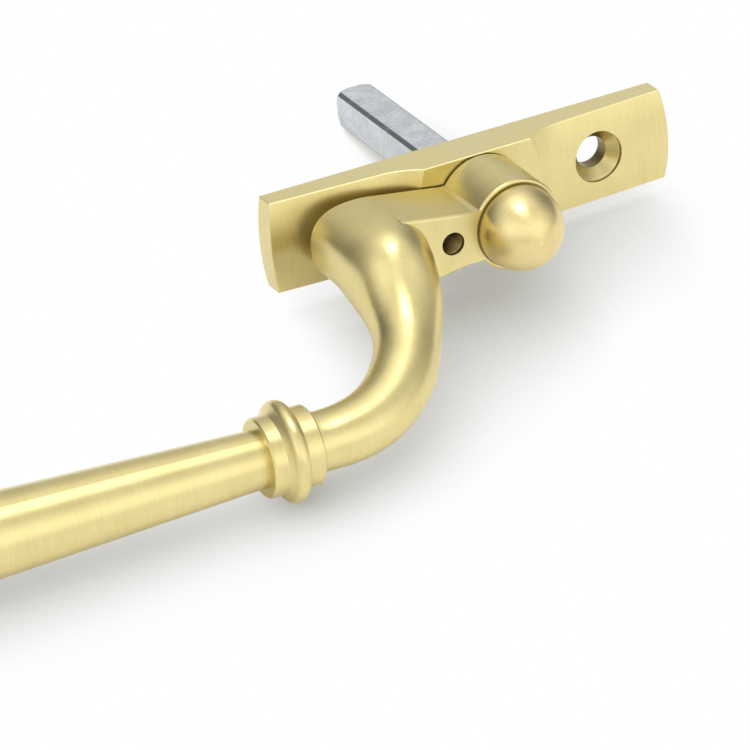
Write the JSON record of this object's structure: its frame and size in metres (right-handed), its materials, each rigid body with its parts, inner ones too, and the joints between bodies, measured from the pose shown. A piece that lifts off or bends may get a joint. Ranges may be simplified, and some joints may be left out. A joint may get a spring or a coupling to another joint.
{
  "type": "casement window fastener",
  "caption": "Brass casement fastener: an offset cranked handle with a beaded grip turns a square spindle through a countersunk backplate.",
  "frame": {"origin": "where the spindle's axis meets the backplate's back plane", "axes": "+X along the backplate, away from the grip; +Y into the sash along the spindle; +Z across the backplate, away from the side the handle is offset to"},
  "size_m": [0.19, 0.0953, 0.0323],
  "materials": {
    "satin_brass": "satin brushed brass with a soft grain",
    "cap_brass": "satin turned brass, slightly warmer",
    "zinc_steel": "dull zinc-plated steel",
    "spring_steel": "oiled spring steel",
    "black_steel": "blackened hexagon-socket steel",
    "bearing_nylon": "natural nylon"
  },
  "bodies": {
    "base": {"backplate": "satin_brass", "hub_bush": "bearing_nylon", "thrust_washer": "bearing_nylon", "disc_spring": "spring_steel", "rear_washer": "zinc_steel"},
    "handle": {"handle_arm": "satin_brass", "boss_cap": "cap_brass", "spindle": "zinc_steel", "spindle_screw": "zinc_steel", "spindle_lock_washer": "spring_steel", "snap_ring": "spring_steel", "neck_stud": "zinc_steel", "neck_ring": "satin_brass", "bead_collar": "satin_brass", "grip": "satin_brass", "grip_button": "satin_brass"},
    "lock": {"lock_screw": "black_steel"}
  },
  "joints": [
    {"name": "handle_turn", "type": "hinge", "parent": "base", "child": "handle", "pos_m": [0, 0, 0], "axis": [0, -1, 0], "range_deg": [0, 90]},
    {"name": "lock_travel", "type": "slide", "parent": "handle", "child": "lock", "axis": [0, 1, 0], "range_m": [0, 0.0034]}
  ]
}
